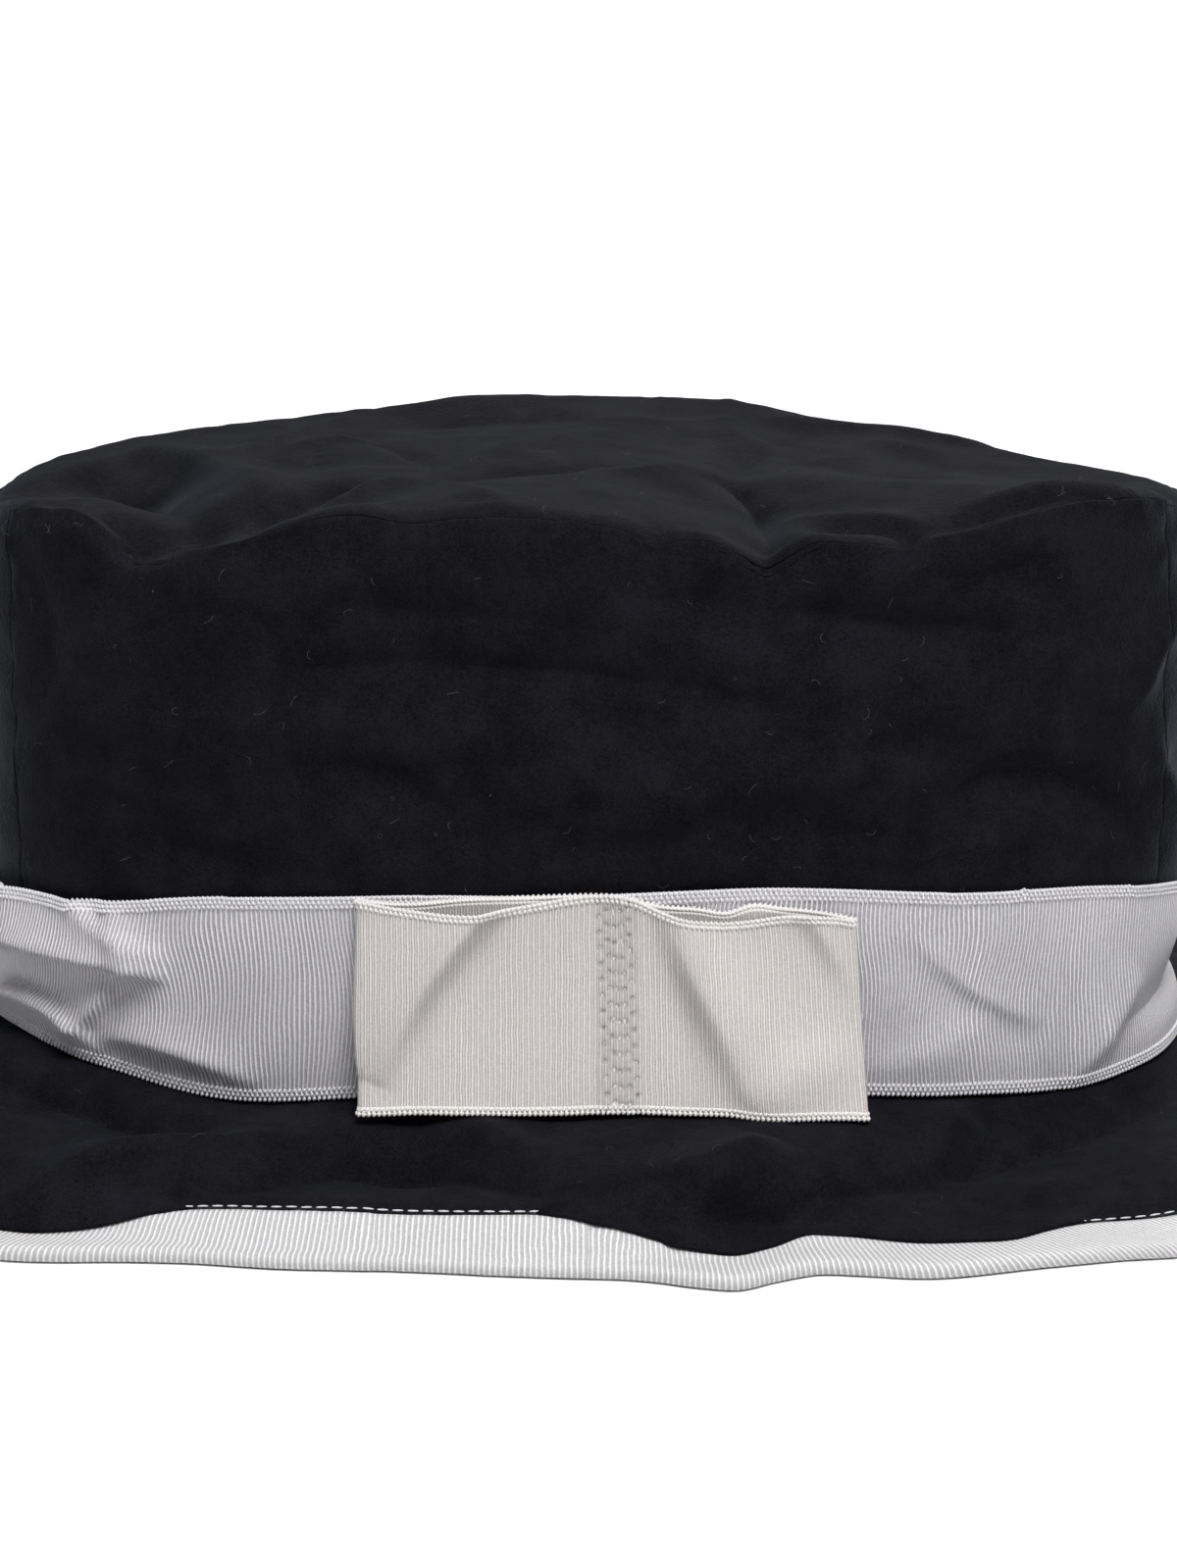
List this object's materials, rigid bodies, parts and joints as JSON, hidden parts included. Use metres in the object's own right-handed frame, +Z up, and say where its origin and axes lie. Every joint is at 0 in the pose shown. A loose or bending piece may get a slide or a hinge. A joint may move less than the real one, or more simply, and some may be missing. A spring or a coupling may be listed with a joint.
{
  "type": "wide-brim hat",
  "caption": "Soft black cloth hat with a flat oval tip, a ribbed silver ribbon band, a flat ivory bow at the front and a drooping brim bound in white tape.",
  "frame": {"origin": "middle of the rim's outline in plan, at the height of the floor that the rim rests on", "axes": "+Z up towards the tip; -Y is the front, where the bow is; +X is to the right of someone who looks at the bow"},
  "size_m": [0.3436, 0.2434, 0.1269],
  "materials": {
    "cloth": "brushed, velvety, matt",
    "band_ribbon": "ribbed ribbon with a soft sheen",
    "bow_ribbon": "finely ribbed ribbon with a soft sheen",
    "binding_tape": "ribbed tape, matt"
  },
  "bodies": {
    "root": {"crown_front": "cloth", "crown_back": "cloth", "crown_tip": "cloth", "brim": "cloth", "brim_binding": "binding_tape", "hat_band": "band_ribbon", "bow": "bow_ribbon"}
  },
  "joints": []
}
